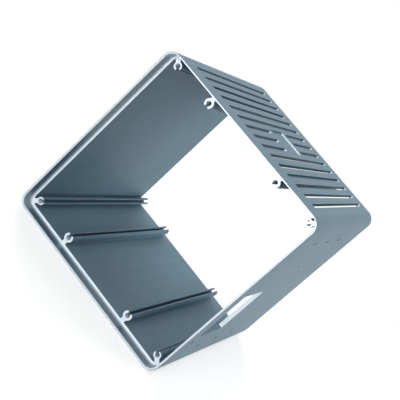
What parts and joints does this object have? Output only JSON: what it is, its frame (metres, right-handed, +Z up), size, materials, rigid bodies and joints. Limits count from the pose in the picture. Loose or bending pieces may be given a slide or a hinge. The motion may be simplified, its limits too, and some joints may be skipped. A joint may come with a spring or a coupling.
{
  "type": "battery enclosure",
  "caption": "Square extruded aluminium battery enclosure, open at both ends, with inner screw channels, a slotted roof and a window and fixing holes in one side.",
  "frame": {"origin": "middle of the housing's box, on the face that it rests on", "axes": "+Z up from the base to the slotted roof; +Y along the tube from the front opening with the cover seat to the rear opening; +X towards the side with the window"},
  "size_m": [0.2, 0.251, 0.2],
  "materials": {
    "coated_aluminium": "satin, slate blue-grey anodised extrusion"
  },
  "bodies": {
    "root": {"housing": "coated_aluminium"}
  },
  "joints": []
}
